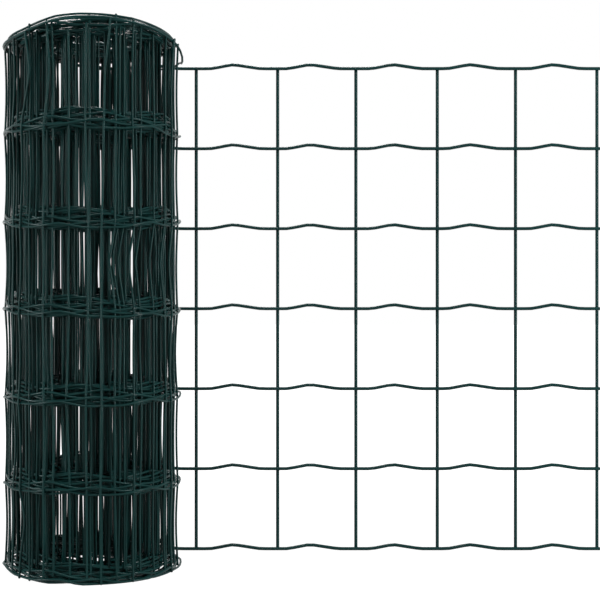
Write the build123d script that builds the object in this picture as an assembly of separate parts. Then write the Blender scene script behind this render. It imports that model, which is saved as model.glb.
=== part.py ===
from build123d import *
import os
from math import cos, degrees, pi, sin

# A roll of welded wire fencing that stands on its end. Its outer end is unrolled to one side.
# The roll's axis is +Z from the floor. The flat run leaves the back of the roll along +X.
# All lengths are in millimetres.

# Wire and mesh
wire_diameter = 3.8
wire_sides = 8
stay_spacing = 100.0
line_spacing = 100.0
cell_rows = 6
weld_sink = 0.5
stay_overhang = 1.0

# Crimp of the line wires within one cell
crimp_height = 4.8
crimp_rise_share = 0.165
crimp_peak_share = 0.43
crimp_fall_share = 0.775

# Stock and the wound roll
stock_length = 25000.0
roll_radius = 101.0
bore_radius = 45.0
waist_depth = 2.5
telescoping = 16.2
turns_per_ridge = 9
ridge_gap = 5.0
ridge_depth = 3.0

# Unrolled end
seat_gap = 0.3
first_stay = 114.0
clear_cells = 5
seated_stays = 2
wire_stub = 3.0

# Derived sizes
mesh_height = cell_rows * line_spacing
band_height = wire_diameter + telescoping
roll_height = mesh_height + band_height
run_radius = roll_radius + seat_gap + wire_diameter / 2
stay_offset = wire_diameter - weld_sink
run_length = first_stay + clear_cells * stay_spacing
line_heights = [wire_diameter / 2 + row * line_spacing for row in range(cell_rows + 1)]
stay_places = [first_stay + cell * stay_spacing for cell in range(-seated_stays, clear_cells + 1)]
wound_length = stock_length - run_length
turns = wound_length / (pi * (roll_radius + bore_radius))
ridges = round(turns / turns_per_ridge)
ridge_pitch = (roll_radius - bore_radius) / ridges


def ridge_grooves(height, depth):
    """The V grooves between the nested turns on one end of the roll, from the bore outwards."""
    points = []
    for ridge in range(1, ridges):
        radius = bore_radius + ridge * ridge_pitch
        points.append((radius - ridge_gap / 2, height))
        points.append((radius, height + depth))
        points.append((radius + ridge_gap / 2, height))
    return points


def outer_wall():
    """The roll's outside from the floor up: a band at each line wire and a waist in each cell."""
    points = []
    for row in range(cell_rows + 1):
        band_foot = row * line_spacing
        points.append((roll_radius, band_foot))
        points.append((roll_radius, band_foot + band_height))
        if row < cell_rows:
            points.append((roll_radius - waist_depth, band_foot + (line_spacing + band_height) / 2))
    return points


def wound_roll():
    """The wound turns as one turned solid with its bore."""
    foot = [(bore_radius, 0), *ridge_grooves(0, ridge_depth)]
    top = [(bore_radius, roll_height), *ridge_grooves(roll_height, -ridge_depth)]
    outline = [*foot, *outer_wall(), *reversed(top)]
    half_section = Plane.XZ * make_face(Polyline(*outline, close=True))
    return revolve(half_section, Axis.Z)


def wire_section(plane):
    """The few-sided section of a wire, with a flat on each side of the mesh."""
    return plane * RegularPolygon(
        wire_diameter / 2, wire_sides, major_radius=False, rotation=180 / wire_sides
    )


def crimped_run(height):
    """The points of one line wire along the flat run, with a crimp in each cell."""
    points = [(0, run_radius, height)]
    for place in stay_places[:-1]:
        rise = place + crimp_rise_share * stay_spacing
        if rise > 0:
            points.append((rise, run_radius, height))
            points.append((place + crimp_peak_share * stay_spacing, run_radius, height + crimp_height))
            points.append((place + crimp_fall_share * stay_spacing, run_radius, height))
    points.append((run_length + wire_stub, run_radius, height))
    return points


def line_wire(height):
    """A line wire: an arc seated on the back of the roll, then the crimped flat run."""
    seated_angle = degrees((wire_stub - stay_places[0]) / run_radius)
    seated = CenterArc((0, 0, height), run_radius, 90 + seated_angle, -seated_angle)
    path = Wire([seated.edge(), *Polyline(*crimped_run(height)).edges()])
    start = Plane(origin=path @ 0, x_dir=(0, 0, 1), z_dir=path % 0)
    return sweep(wire_section(start), path, transition=Transition.RIGHT)


def stay_wire(place):
    """An upright stay on the outside of the line wires, on the flat run or on the seated arc."""
    turned = max(-place, 0) / run_radius
    radius = run_radius + stay_offset
    foot = (max(place, 0) - radius * sin(turned), radius * cos(turned), line_heights[0] - stay_overhang)
    plane = Plane(origin=foot, x_dir=(cos(turned), sin(turned), 0), z_dir=(0, 0, 1))
    return extrude(wire_section(plane), mesh_height + 2 * stay_overhang)


def unrolled_end():
    """The flat welded mesh: line wires and stays fused where they cross."""
    lines = [line_wire(height) for height in line_heights]
    stays = [stay_wire(place) for place in stay_places]
    return lines[0].fuse(*lines[1:], *stays)


os.makedirs("parts", exist_ok=True)
export_step(wound_roll(), "parts/wound_roll.step")
export_step(unrolled_end(), "parts/unrolled_end.step")
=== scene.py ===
import math

import bpy
import numpy as np
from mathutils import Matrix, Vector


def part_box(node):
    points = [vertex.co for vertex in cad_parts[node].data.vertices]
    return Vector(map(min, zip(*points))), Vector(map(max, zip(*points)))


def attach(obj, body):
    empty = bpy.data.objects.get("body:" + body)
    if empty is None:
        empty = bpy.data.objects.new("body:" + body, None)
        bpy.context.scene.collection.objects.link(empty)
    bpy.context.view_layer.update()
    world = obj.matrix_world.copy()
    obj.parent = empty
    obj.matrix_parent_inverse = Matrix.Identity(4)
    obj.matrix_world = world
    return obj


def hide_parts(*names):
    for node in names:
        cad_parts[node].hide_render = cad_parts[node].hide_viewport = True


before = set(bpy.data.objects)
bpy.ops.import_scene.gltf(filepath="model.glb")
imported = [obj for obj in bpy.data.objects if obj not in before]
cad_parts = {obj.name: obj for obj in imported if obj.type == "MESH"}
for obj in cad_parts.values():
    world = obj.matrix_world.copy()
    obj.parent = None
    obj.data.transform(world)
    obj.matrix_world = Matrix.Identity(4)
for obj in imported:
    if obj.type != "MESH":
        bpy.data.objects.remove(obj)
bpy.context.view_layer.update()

# A roll of green coated welded wire fencing, wound turn by turn from real wires.
# Every line wire is one piece of wire: it runs along the flat end, round the back of the roll
# and on into the bore. The stays are welded to the outside of the line wires.
# Lengths are in metres, in the frame of the CAD model.

# Wire and mesh. The wound wires read thinner than the flat ones, and the wire tapers where it meets the roll.
FLAT_RADIUS = 0.0021
WOUND_RADIUS = 0.0013
TAPER_LENGTH = 0.25
WELD_SINK = 0.0005
CELL = 0.100
ROWS = 7
STAY_OVERHANG = 0.0008
FLOOR_GAP = 0.0002

# Crimp of a line wire: its start, peak and end as shares of a cell.
# Two forms of it take turns along the fence.
CRIMP_HEIGHT = 0.0052
CRIMP_SHARES = ((0.185, 0.450, 0.790), (0.140, 0.412, 0.760))
CRIMP_ROUNDING_SHARE = 0.035
CRIMP_ROUNDING_STEPS = 5

# Flat run and winding. The front of the roll is half a turn on from its back, where the flat run leaves it.
# The outer stays stand a little proud of the CAD model's roll.
FIRST_STAY = 0.114
CLEAR_CELLS = 5
WIRE_STUB = 0.003
STAY_ALTERNATION = 0.001
STOCK_LENGTH = 25.0
BORE_RADIUS = 0.045
LEAD_IN_ANGLE = 0.75
LOOSE_LENGTH = 0.12
STAY_PROUD = 0.0014
FRONT_TURN_SHARE = 0.5
SEED = 7

# Angle from the front to a stay on its left, in degrees, for each of the outer turns.
# The turns inside them slip until their stays fill the gaps that are still open from the photo's side.
# Only a few slits stay open right through the roll, at these distances to the right of its axis.
# A turn slips at the back, and not between the two places on its left and right, in turns from the back.
FRONT_STAYS = (44, 23, 54, 36, 18, 6.5)
HELD_TURNS = (0.20, 0.77)
OPEN_SLITS = (-0.041, -0.016, 0.046, 0.090)
SLIT_HALF = 0.0008
SLIT_WEIGHT = 0.4
DENSE_SIDE = -0.045
DENSE_WEIGHT = 3.0
SLIP_TRIES = 61
COLUMNS_PER_RADIUS = 8

# Inward bow of the wound stays in each cell, which fades towards the bore
WAIST = 0.0022
WAIST_REACH = 3.0
WAIST_MEAN_SHARE = 0.64

# Standing height of the turns above the floor: given at the front of each outer turn,
# and swinging about a middle share of the most that it may be inside them
FRONT_STANDING = (0.0010, 0.0045, 0.0090, 0.0000, 0.0120, 0.0030)
STANDING_MOST = 0.014
STANDING_MIDDLE_SHARE = 0.5
INNER_MORE = 0.006
INNER_REACH = 4.0

# How the turns and each row of line wire wander: spacing of the free values along the wire, and their size.
# The first size is a share of the most that the turns may stand.
STANDING_WAVE = (0.37, 0.9)
ROW_RADIUS_WAVE = (0.055, 0.0007)
ROW_HEIGHT_WAVE = (0.070, 0.0012)
TURN_RADIUS_WAVE = (0.20, 0.0005)

# Outward bow of the line wires between two stays, most in the loose outer turns
BOW_OUTER = 0.0045
BOW_INNER = 0.0012
BOW_REACH = 1.7
BOW_SHARES = (-0.15, 1.0)

# Cells of the outermost turn, from the free end, whose line wires stand out at the roll's left and right edge
EDGE_BOWS = {7: 0.55, 10: 0.90}

# Lift of each row of line wires at the back, left, front and right of the roll, from the floor up
ROW_LIFTS = (
    (0.000, 0.0050, -0.0035, -0.0040),
    (0.000, -0.0030, -0.0040, -0.0070),
    (0.000, -0.0040, -0.0055, -0.0050),
    (0.000, -0.0020, -0.0085, -0.0070),
    (0.000, -0.0020, -0.0110, -0.0030),
    (0.000, -0.0020, 0.0000, 0.0000),
    (0.004, 0.0020, 0.0050, 0.0060),
)

# A loose bight of the top line wire on the right of the outermost turn: degrees travelled round the roll,
# then its shifts outwards and up
BIGHT = (
    (245, 0.0000, 0.000), (256, 0.0040, -0.003), (264, 0.0055, -0.010), (270, 0.0040, -0.016),
    (276, 0.0012, -0.019), (300, 0.0000, -0.018), (320, 0.0000, -0.014), (380, 0.0000, 0.000),
)

# Smooth arc that the top line wire makes across the front: degrees round from the front to the right,
# and its height. A few turns follow it, each lowered by its second number, and the others stay below it.
TOP_ARC = (
    (-110, 0.606), (-80, 0.610), (-43, 0.6155), (-15, 0.6255), (0, 0.6272), (18, 0.6275),
    (36, 0.6262), (57, 0.6212), (80, 0.6165), (110, 0.612),
)
ARC_TURNS = ((0, 0.0055), (1, 0.0038), (3, 0.0), (6, 0.0018))
ARC_GAP = 0.0040
ARC_DIP_SHARE = 0.45
ARC_EDGE = 30

# Unevenness of the wound stays: where they are welded, and how they bow in a cell
WELD_DRIFT = 0.0009
BOW_TANGENT = 0.0005
BOW_OUTWARD = 0.0005

# Bends of single stays: number of the stay from the free end, then heights and shifts along the winding,
# which is to the right at the front. The first three are bent in the photo, and the others close gaps
# at the roll's left edge.
STAY_BENDS = {
    8: (
        (0.030, 0.0000), (0.070, 0.0070), (0.100, 0.0000), (0.400, 0.0000),
        (0.517, 0.0045), (0.568, 0.0170), (0.612, 0.0100),
    ),
    9: ((0.400, 0.0000), (0.515, 0.0040), (0.568, 0.0050), (0.615, 0.0100)),
    15: ((0.500, 0.0000), (0.520, 0.0020), (0.568, 0.0060), (0.610, 0.0030)),
    20: (
        (0.130, 0.0030), (0.170, 0.0017), (0.280, 0.0017),
        (0.430, 0.0060), (0.480, 0.0060), (0.590, 0.0000),
    ),
    32: ((0.060, -0.0050), (0.150, 0.0000), (0.250, -0.0030), (0.500, -0.0030), (0.590, -0.0060)),
    38: (
        (0.060, 0.0030), (0.150, 0.0012), (0.250, 0.0032),
        (0.350, -0.0015), (0.500, -0.0015), (0.590, 0.0000),
    ),
}

# A dent on the right of the front, where the stays of the outer turns are pushed to the left in one cell:
# heights and shifts, then the turns and the degrees round the roll that have it
DENT = ((0.305, 0.000), (0.356, -0.0075), (0.398, 0.000))
DENT_TURNS = 9
DENT_ANGLES = (192, 268)
DENT_EDGE = 15

# How finely the wires are drawn
LINE_SIDES = 10
LINE_STEP = 0.0085
STAY_STEPS = 8
OUTER_STAYS = 90
OUTER_STAY_SIDES = 10
INNER_STAY_SIDES = 6
TIP_SHARES = np.array([0.35, 0.8])
UP = np.array([0.0, 0.0, 1.0])

# Coat of the wire: its faint patches, the part of their range over which the colour changes,
# and the colours and the roughness from one end to the other
SPECULAR_LEVEL = 0.085
PATCH_SCALE = 38.0
PATCH_DETAIL = 4.0
PATCH_RANGE = (0.30, 0.72)
COAT_COLOURS = ((0.0036, 0.0250, 0.0238, 1), (0.0052, 0.0330, 0.0314, 1))
COAT_ROUGHNESS = (0.19, 0.28)

# Camera
CAMERA_PLACE = (0.2430, -1.5259, 0.3129)
CAMERA_LENS = 78.16
SENSOR = 36.0

# White surround and floor
AMBIENT = 0.01
FLOOR_SIZE = 30.0
FLOOR_GREY = 0.45
FLOOR_GLOW = 1.30
FLOOR_GLOW_SHARE = 0.75
SHADOW_CENTRE = (0.2, 0.0, 0.0)
SHADOW_REACH = 0.9

# Lamps: place, width, height and power in watts. All of them point at the middle of the roll.
LAMP_TARGET = (0.0, 0.0, 0.31)
LAMPS = {
    "left_strip": ((-1.85, -0.75, 0.60), 0.12, 1.4, 37),
    "right_strip": ((1.85, -0.75, 0.60), 0.12, 1.4, 38),
    "top_strip": ((0.0, -0.60, 2.00), 0.8, 0.2, 21),
    "back_strip": ((-0.20, 1.30, 1.90), 1.2, 0.6, 38),
}

# Sizes that follow from those above and from the CAD model.
# The outside of a stay is three radii from the middle of its line wire, less what the weld sinks in.
ROLL_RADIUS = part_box("wound_roll")[1].x
RUN_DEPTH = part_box("unrolled_end")[1].y + WELD_SINK - 3 * FLAT_RADIUS
RUN_LENGTH = FIRST_STAY + CLEAR_CELLS * CELL
OUTER_RADIUS = ROLL_RADIUS + STAY_PROUD + WELD_SINK - 3 * WOUND_RADIUS
INNER_RADIUS = BORE_RADIUS + WOUND_RADIUS
WOUND_LENGTH = STOCK_LENGTH - RUN_LENGTH
TURN_PITCH = math.pi * (OUTER_RADIUS ** 2 - INNER_RADIUS ** 2) / WOUND_LENGTH
TURNS = int((OUTER_RADIUS - INNER_RADIUS) / TURN_PITCH)
CELLS = round(WOUND_LENGTH / CELL) + CLEAR_CELLS + 2

rng = np.random.default_rng(SEED)


def wave(spacing, amplitude):
    """A smooth random curve along the wound wire, with a free value at every spacing."""
    knots = np.arange(-2, WOUND_LENGTH / spacing + 3)
    values = rng.uniform(-1, 1, len(knots)) * amplitude

    def at(distance):
        place = np.asarray(distance) / spacing
        index = np.clip(np.floor(place).astype(int) + 2, 1, len(knots) - 3)
        t = np.clip(place - (index - 2), 0, 1)
        a, b, c, d = (values[index + shift] for shift in (-1, 0, 1, 2))
        return b + 0.5 * t * (c - a + t * (2 * a - 5 * b + 4 * c - d + t * (3 * (b - c) + d - a)))

    return at


def smooth_step(value):
    """Rises from zero to one without a corner as the value goes from zero to one."""
    t = np.clip(value, 0, 1)
    return t * t * (3 - 2 * t)


# Winding of the turns

def spiral_radius(wound):
    """Radius of the even spiral after a wound length."""
    return np.sqrt(np.maximum(OUTER_RADIUS ** 2 - TURN_PITCH * wound / math.pi, INNER_RADIUS ** 2))


def wound_at(turns):
    """Wound length after a number of turns from the back of the roll."""
    radius = OUTER_RADIUS - turns * TURN_PITCH
    return math.pi * (OUTER_RADIUS ** 2 - radius ** 2) / TURN_PITCH


def even_angle(wound):
    """Angle travelled round the roll on the even spiral."""
    return (OUTER_RADIUS - spiral_radius(wound)) * 2 * math.pi / TURN_PITCH


def waist(wound):
    """How far a stay bows inwards in the middle of a cell."""
    return WAIST * np.exp(-wound / WAIST_REACH)


def seen_across(wound, angle):
    """How far right of the roll's axis a stay shows from the photo's side, on average along its height."""
    radius = spiral_radius(wound) + 2 * WOUND_RADIUS - WELD_SINK - WAIST_MEAN_SHARE * waist(wound)
    near = radius * np.cos(angle) - CAMERA_PLACE[1]
    side = -radius * np.sin(angle) - CAMERA_PLACE[0]
    return CAMERA_PLACE[0] - CAMERA_PLACE[1] * side / near


def column_weights(columns):
    """What it is worth to cover each column of the roll: most on its dense side, a loss in an open slit."""
    slits = np.any(np.abs(columns - np.array(OPEN_SLITS)[:, None]) < SLIT_HALF, axis=0)
    weights = np.where(columns < DENSE_SIDE, DENSE_WEIGHT, 1.0)
    weights[slits] = -SLIT_WEIGHT
    return weights


def slip_steps(turn, slip):
    """Slips that a turn may add: the one that places its front stay in an outer turn, many in the others."""
    front = wound_at(turn + FRONT_TURN_SHARE)
    cell_angle = CELL / spiral_radius(front)
    if turn >= len(FRONT_STAYS):
        return np.linspace(-cell_angle / 2, cell_angle / 2, SLIP_TRIES)
    wanted = (front + FIRST_STAY) / CELL * cell_angle - math.radians(FRONT_STAYS[turn])
    return [(wanted - slip + cell_angle / 2) % cell_angle - cell_angle / 2]


def turn_slips():
    """Places along the wire and the slip there: each turn is held from its left to its right."""
    columns = np.arange(-ROLL_RADIUS, ROLL_RADIUS, WOUND_RADIUS / COLUMNS_PER_RADIUS)
    weights = column_weights(columns)
    covered = np.zeros(len(columns), bool)
    places = [0.0]
    slips = [0.0]
    for turn in range(TURNS):
        start = places[-1]
        slip = slips[-1]
        left, right = (wound_at(turn + held - slip / (2 * math.pi)) for held in HELD_TURNS)
        first = math.ceil((start + FIRST_STAY) / CELL)
        stays = np.arange(first, (right + FIRST_STAY) / CELL) * CELL - FIRST_STAY
        share = np.minimum((stays - start) / (left - start), 1)
        best = -math.inf
        for step in slip_steps(turn, slip):
            across = seen_across(stays, even_angle(stays) + slip + share * step)
            hit = np.any(np.abs(columns - across[:, None]) < WOUND_RADIUS, axis=0)
            score = np.sum(weights[hit & ~covered])
            if score > best:
                best = score
                chosen = step
                chosen_hit = hit
        covered |= chosen_hit
        places.extend((left, right))
        slips.extend((slip + chosen, slip + chosen))
    return places, slips


slip_places, slip_angles = turn_slips()
standing_swing = wave(*STANDING_WAVE)
row_radius = [wave(*ROW_RADIUS_WAVE) for row in range(ROWS)]
row_height = [wave(*ROW_HEIGHT_WAVE) for row in range(ROWS)]
turn_radius = wave(*TURN_RADIUS_WAVE)
bows = rng.uniform(*BOW_SHARES, (ROWS, CELLS))
for edge_cell, edge_share in EDGE_BOWS.items():
    bows[:, edge_cell] = edge_share


def turned_angle(wound):
    """Angle travelled round the roll after a wound length: the even spiral with the turns' slip."""
    return even_angle(wound) + np.interp(wound, slip_places, slip_angles)


# Shape of the line wires

def crimp(run):
    """Height of the crimp at a distance along the fence, with rounded bends."""
    total = 0
    for shift in np.linspace(-CRIMP_ROUNDING_SHARE, CRIMP_ROUNDING_SHARE, CRIMP_ROUNDING_STEPS):
        place = (run - FIRST_STAY) / CELL + shift
        even = np.floor(place) % 2 == 0
        rise, peak, fall = (np.where(even, *forms) for forms in zip(*CRIMP_SHARES))
        share = place % 1.0
        up = (share - rise) / (peak - rise)
        down = (fall - share) / (fall - peak)
        total = total + np.clip(np.minimum(up, down), 0, 1)
    return CRIMP_HEIGHT * total / CRIMP_ROUNDING_STEPS


def standing(wound):
    """How far a turn stands up from the floor."""
    fronts = [wound_at(turn + FRONT_TURN_SHARE) for turn in range(len(FRONT_STANDING) + 1)]
    outer = np.interp(wound, fronts[:-1], FRONT_STANDING)
    most = STANDING_MOST + INNER_MORE * (1 - np.exp(-wound / INNER_REACH))
    inner = most * np.clip(STANDING_MIDDLE_SHARE + standing_swing(wound), 0, 1)
    return outer + (inner - outer) * smooth_step((wound - fronts[-2]) / (fronts[-1] - fronts[-2]))


def bow(row, run, wound):
    """Outward bow of a line wire between its two stays."""
    place = (RUN_LENGTH - run) / CELL
    cell = np.clip(np.floor(place).astype(int), 0, CELLS - 1)
    size = BOW_INNER + (BOW_OUTER - BOW_INNER) * np.exp(-(wound / BOW_REACH) ** 2)
    return size * bows[row, cell] * np.sin(math.pi * (place % 1.0)) ** 2


def bight(row, angle):
    """Shifts of a line wire outwards and up, which only the top one has."""
    if row < ROWS - 1:
        return 0, 0
    places, outwards, up = zip(*BIGHT)
    turned = np.degrees(angle)
    return np.interp(turned, places, outwards), np.interp(turned, places, up)


def top_arc(row, angle, height):
    """Height of a line wire, drawn to the arc across the front where it is the top one."""
    if row < ROWS - 1:
        return height
    places, heights = zip(*TOP_ARC)
    turned = np.degrees(angle)
    across = turned % 360 - 180
    crest = np.interp(across, places, heights)
    cap = crest - ARC_GAP
    aim = np.minimum(height, cap - ARC_DIP_SHARE * (height - cap))
    for turn, lower in ARC_TURNS:
        aim = np.where(np.floor(turned / 360) == turn, crest - lower, aim)
    hold = smooth_step((places[-1] - np.abs(across)) / ARC_EDGE)
    return height + hold * (aim - height)


def row_lift(row, angle):
    """Lift of a row of line wire, which passes smoothly through its four values round the roll."""
    back, left, front, right = ROW_LIFTS[row]
    mean = (back + left + front + right) / 4
    across = (left - right) / 2
    along = (back - front) / 2
    pinch = (back + front - left - right) / 4
    return mean + along * np.cos(angle) + across * np.sin(angle) + pinch * np.cos(2 * angle)


def gauge(run):
    """Radius of the wire at a distance along the fence."""
    wound = np.maximum(-np.asarray(run, float), 0)
    return FLAT_RADIUS + (WOUND_RADIUS - FLAT_RADIUS) * smooth_step(wound / TAPER_LENGTH)


def line_points(row, run):
    """Centre line of one row of line wire and the way out from the roll, at distances along the fence.

    The distance is positive along the flat run and negative round the roll."""
    run = np.asarray(run, float)
    wound = np.maximum(-run, 0)
    flat = np.maximum(run, 0)
    angle = turned_angle(wound)
    loose = smooth_step(wound / LOOSE_LENGTH)
    bight_out, bight_up = bight(row, angle)
    radius = spiral_radius(wound) + (RUN_DEPTH - OUTER_RADIUS) * np.exp(-(angle / LEAD_IN_ANGLE) ** 2)
    radius = radius + bight_out
    radius = radius + loose * (row_radius[row](wound) + turn_radius(wound) + bow(row, run, wound))
    height = FLAT_RADIUS + row * CELL + crimp(run)
    height = height + loose * (standing(wound) + row_lift(row, angle) + row_height[row](wound))
    height = np.maximum(top_arc(row, angle, height) + bight_up, gauge(run))
    outward = np.stack([-np.sin(angle), np.cos(angle), np.zeros_like(angle)], -1)
    points = radius[..., None] * outward
    points[..., 0] += flat
    points[..., 2] = height
    return points, outward


# Shape of the stays

def stay_bend(number, place, height):
    """Shift of a stay along the winding, at heights of its centre line."""
    shift = np.zeros_like(height)
    if number in STAY_BENDS:
        shift = shift + np.interp(height, *zip(*STAY_BENDS[number]))
    if 0 < -place < wound_at(DENT_TURNS):
        angle = math.degrees(turned_angle(-place)) % 360
        edge = min(angle - DENT_ANGLES[0], DENT_ANGLES[1] - angle) / DENT_EDGE
        shift = shift + smooth_step(edge) * np.interp(height, *zip(*DENT))
    return shift[:, None]


def stay_welds(place, drift_share):
    """Points of a stay's centre line at its welds, outside each row of line wire, and the ways out there."""
    knots = []
    ways = []
    for row in range(ROWS):
        shifted = np.array([place + drift_share * rng.normal(0, WELD_DRIFT)])
        points, outward = line_points(row, shifted)
        points[0, 2] -= crimp(shifted)[0]
        knots.append(points[0] + outward[0] * (2 * gauge(place) - WELD_SINK))
        ways.append(outward[0])
    return knots, ways


def stay_line(number, place, drift_share):
    """Centre line of a stay and its reference directions, bowed a little in each cell where it is wound."""
    share = np.linspace(0, 1, STAY_STEPS, endpoint=False)[:, None]
    swell = np.sin(math.pi * share)
    knots, ways = stay_welds(place, drift_share)
    line = []
    reference = []
    for row in range(ROWS - 1):
        tangent = np.cross(UP, ways[row])
        inward = waist(max(-place, 0)) + rng.normal(0, BOW_OUTWARD)
        bend = drift_share * (rng.normal(0, BOW_TANGENT) * tangent - inward * ways[row])
        line.append(knots[row] + (knots[row + 1] - knots[row]) * share + swell * bend)
        reference.append(np.broadcast_to(ways[row], (STAY_STEPS, 3)))
    line = np.concatenate([*line, knots[-1][None]])
    line += stay_bend(number, place, line[:, 2]) * np.cross(UP, ways[0])
    return line, np.concatenate([*reference, ways[-1][None]])


def stay_lines():
    """All stays from the free end to the bore: centre lines, reference directions and radii."""
    stays = []
    for number, place in enumerate(np.arange(RUN_LENGTH, -WOUND_LENGTH + CELL / 2, -CELL)):
        drift_share = 0 if place > 0 else 1
        if place > 0:
            place += STAY_ALTERNATION * (1 - number % 2 * 2)
        line, reference = stay_line(number, place, drift_share)
        radius = gauge(place)
        line[0, 2] = max(line[0, 2] - STAY_OVERHANG, FLOOR_GAP + radius * TIP_SHARES[-1])
        line[-1, 2] += STAY_OVERHANG
        stays.append((line, reference, np.full(len(line), radius)))
    return stays


# Pieces

def tube(points, reference, radius, sides):
    """Rings and faces of a round wire along a centre line with a radius at each point, and rounded tips."""
    first = points[0] - points[1]
    first /= np.linalg.norm(first)
    last = points[-1] - points[-2]
    last /= np.linalg.norm(last)
    head = [points[0] + first * radius[0] * share for share in TIP_SHARES[::-1]]
    tail = [points[-1] + last * radius[-1] * share for share in TIP_SHARES]
    line = np.concatenate([head, points, tail])
    guide = np.concatenate([reference[:1], reference[:1], reference, reference[-1:], reference[-1:]])
    tips = np.sqrt(1 - TIP_SHARES ** 2)
    size = np.concatenate([radius[0] * tips[::-1], radius, radius[-1] * tips])
    along = np.gradient(line, axis=0)
    along /= np.linalg.norm(along, axis=1, keepdims=True)
    side = np.cross(guide, along)
    side /= np.linalg.norm(side, axis=1, keepdims=True)
    up = np.cross(along, side)
    turn = np.arange(sides) * 2 * math.pi / sides
    ring = np.cos(turn)[None, :, None] * side[:, None] + np.sin(turn)[None, :, None] * up[:, None]
    vertices = line[:, None] + size[:, None, None] * ring
    count = len(line)
    index = np.arange(count * sides).reshape(count, sides)
    right = np.roll(index, -1, axis=1)
    quads = np.stack([index[:-1], right[:-1], right[1:], index[1:]], -1).reshape(-1, 4)
    caps = [index[0][::-1].tolist(), index[-1].tolist()]
    return vertices.reshape(-1, 3), quads.tolist() + caps


def wire_piece(name, wires, sides, material):
    """One mesh piece of any number of wires, each a centre line with its reference directions and radii."""
    vertices = []
    faces = []
    start = 0
    for points, reference, radius in wires:
        rings, wire_faces = tube(points, reference, radius, sides)
        faces.extend([[corner + start for corner in face] for face in wire_faces])
        vertices.append(rings)
        start += len(rings)
    mesh = bpy.data.meshes.new(name)
    mesh.from_pydata(np.concatenate(vertices).tolist(), [], faces)
    mesh.shade_smooth()
    mesh.materials.append(material)
    piece = bpy.data.objects.new(name, mesh)
    bpy.context.scene.collection.objects.link(piece)
    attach(piece, "root")
    return piece


def line_wires(material):
    """The seven line wires, each from the free end of the flat run to the bore."""
    run = np.arange(RUN_LENGTH + WIRE_STUB, -WOUND_LENGTH, -LINE_STEP)
    pieces = []
    for row in range(ROWS):
        points = line_points(row, run)[0]
        wire = (points, np.broadcast_to(UP, points.shape), gauge(run))
        pieces.append(wire_piece(f"line_wire_{row + 1}", [wire], LINE_SIDES, material))
    return pieces


def stay_wires(material):
    """The stays in two pieces: those of the flat run and the outer turns, and those inside with fewer sides.

    Only the first piece is returned."""
    stays = stay_lines()
    outer = wire_piece("outer_stays", stays[:OUTER_STAYS], OUTER_STAY_SIDES, material)
    wire_piece("inner_stays", stays[OUTER_STAYS:], INNER_STAY_SIDES, material)
    return outer


def coated_wire():
    """Dark green plastic coat, semi-gloss, with faint unevenness in colour and gloss."""
    material = bpy.data.materials.new("coated_wire")
    material.use_nodes = True
    nodes = material.node_tree.nodes
    links = material.node_tree.links
    shader = nodes["Principled BSDF"]
    shader.inputs["Specular IOR Level"].default_value = SPECULAR_LEVEL
    place = nodes.new("ShaderNodeTexCoord")
    patches = nodes.new("ShaderNodeTexNoise")
    patches.inputs["Scale"].default_value = PATCH_SCALE
    patches.inputs["Detail"].default_value = PATCH_DETAIL
    links.new(place.outputs["Object"], patches.inputs["Vector"])
    tones = nodes.new("ShaderNodeValToRGB")
    for stop, position, colour in zip(tones.color_ramp.elements, PATCH_RANGE, COAT_COLOURS):
        stop.position = position
        stop.color = colour
    links.new(patches.outputs["Fac"], tones.inputs["Fac"])
    links.new(tones.outputs["Color"], shader.inputs["Base Color"])
    gloss = nodes.new("ShaderNodeMapRange")
    gloss.inputs["To Min"].default_value = COAT_ROUGHNESS[0]
    gloss.inputs["To Max"].default_value = COAT_ROUGHNESS[1]
    links.new(patches.outputs["Fac"], gloss.inputs["Value"])
    links.new(gloss.outputs["Result"], shader.inputs["Roughness"])
    return material


# Camera, surround, floor and lamps

def add_camera():
    """A level camera where the photo was taken from."""
    data = bpy.data.cameras.new("camera")
    data.sensor_width = SENSOR
    data.lens = CAMERA_LENS
    camera = bpy.data.objects.new("camera", data)
    camera.location = CAMERA_PLACE
    camera.rotation_euler = (math.pi / 2, 0, 0)
    bpy.context.scene.collection.objects.link(camera)
    bpy.context.scene.camera = camera


def seen_directly(tree):
    """One where a ray comes from the camera, from gloss or through glass, and zero elsewhere."""
    path = tree.nodes.new("ShaderNodeLightPath")
    seen = path.outputs["Is Camera Ray"]
    for ray in ("Is Glossy Ray", "Is Transmission Ray"):
        either = tree.nodes.new("ShaderNodeMath")
        either.operation = "MAXIMUM"
        tree.links.new(seen, either.inputs[0])
        tree.links.new(path.outputs[ray], either.inputs[1])
        seen = either.outputs[0]
    return seen


def add_world():
    """A surround that is seen as plain white and lights the object only a little."""
    world = bpy.data.worlds.new("studio")
    world.use_nodes = True
    tree = world.node_tree
    background = tree.nodes["Background"]
    background.inputs["Color"].default_value = (1, 1, 1, 1)
    level = tree.nodes.new("ShaderNodeMapRange")
    level.inputs["To Min"].default_value = AMBIENT
    level.inputs["To Max"].default_value = 1.0
    tree.links.new(seen_directly(tree), level.inputs["Value"])
    tree.links.new(level.outputs["Result"], background.inputs["Strength"])
    bpy.context.scene.world = world


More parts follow.
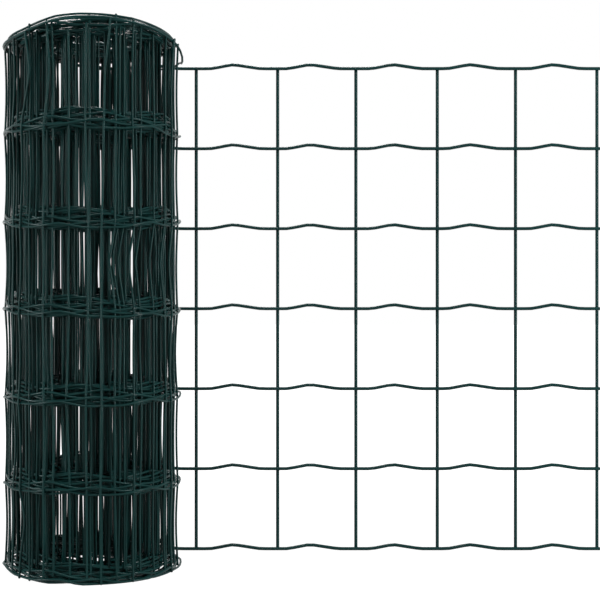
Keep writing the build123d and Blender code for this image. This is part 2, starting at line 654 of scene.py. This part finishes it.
def floor_plainness(tree):
    """Share of the floor's glow: part of it near the object, where its shadow shows, and all further out."""
    place = tree.nodes.new("ShaderNodeTexCoord")
    apart = tree.nodes.new("ShaderNodeVectorMath")
    apart.operation = "DISTANCE"
    apart.inputs[1].default_value = SHADOW_CENTRE
    tree.links.new(place.outputs["Object"], apart.inputs[0])
    plain = tree.nodes.new("ShaderNodeMapRange")
    plain.inputs["From Min"].default_value = SHADOW_REACH / 2
    plain.inputs["From Max"].default_value = SHADOW_REACH
    plain.inputs["To Min"].default_value = FLOOR_GLOW_SHARE
    plain.inputs["To Max"].default_value = 1.0
    tree.links.new(apart.outputs["Value"], plain.inputs["Value"])
    share = tree.nodes.new("ShaderNodeMath")
    share.operation = "MULTIPLY"
    tree.links.new(seen_directly(tree), share.inputs[0])
    tree.links.new(plain.outputs["Result"], share.inputs[1])
    return share.outputs[0]


def floor_material():
    """A matt grey floor that is seen as glowing white."""
    material = bpy.data.materials.new("floor")
    material.use_nodes = True
    tree = material.node_tree
    tree.nodes.remove(tree.nodes["Principled BSDF"])
    matt = tree.nodes.new("ShaderNodeBsdfDiffuse")
    matt.inputs["Color"].default_value = (FLOOR_GREY, FLOOR_GREY, FLOOR_GREY, 1)
    glow = tree.nodes.new("ShaderNodeEmission")
    glow.inputs["Strength"].default_value = FLOOR_GLOW
    mix = tree.nodes.new("ShaderNodeMixShader")
    tree.links.new(floor_plainness(tree), mix.inputs["Fac"])
    tree.links.new(matt.outputs["BSDF"], mix.inputs[1])
    tree.links.new(glow.outputs["Emission"], mix.inputs[2])
    tree.links.new(mix.outputs["Shader"], tree.nodes["Material Output"].inputs["Surface"])
    return material


def add_floor():
    """A white floor that shows the object's shadow near it and is plain white further out."""
    half = FLOOR_SIZE / 2
    corners = [(-half, -half, 0), (half, -half, 0), (half, half, 0), (-half, half, 0)]
    mesh = bpy.data.meshes.new("floor")
    mesh.from_pydata(corners, [], [(0, 1, 2, 3)])
    mesh.materials.append(floor_material())
    floor = bpy.data.objects.new("floor", mesh)
    bpy.context.scene.collection.objects.link(floor)


def add_lamp(name, place, width, height, power):
    """A rectangular lamp that points at the roll and can't be seen itself."""
    data = bpy.data.lights.new(name, "AREA")
    data.shape = "RECTANGLE"
    data.size = width
    data.size_y = height
    data.energy = power
    lamp = bpy.data.objects.new(name, data)
    lamp.visible_camera = False
    lamp.location = place
    direction = np.array(LAMP_TARGET) - np.array(place)
    yaw = math.atan2(-direction[0], direction[1])
    tilt = math.acos(-direction[2] / np.linalg.norm(direction))
    lamp.rotation_euler = (tilt, 0, yaw)
    bpy.context.scene.collection.objects.link(lamp)


coat = coated_wire()
lines = line_wires(coat)
outer_stays = stay_wires(coat)
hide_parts("wound_roll")
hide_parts("unrolled_end")
add_camera()
add_world()
add_floor()
for lamp_name, lamp_facts in LAMPS.items():
    add_lamp(lamp_name, *lamp_facts)
bpy.context.scene.view_settings.view_transform = "Standard"
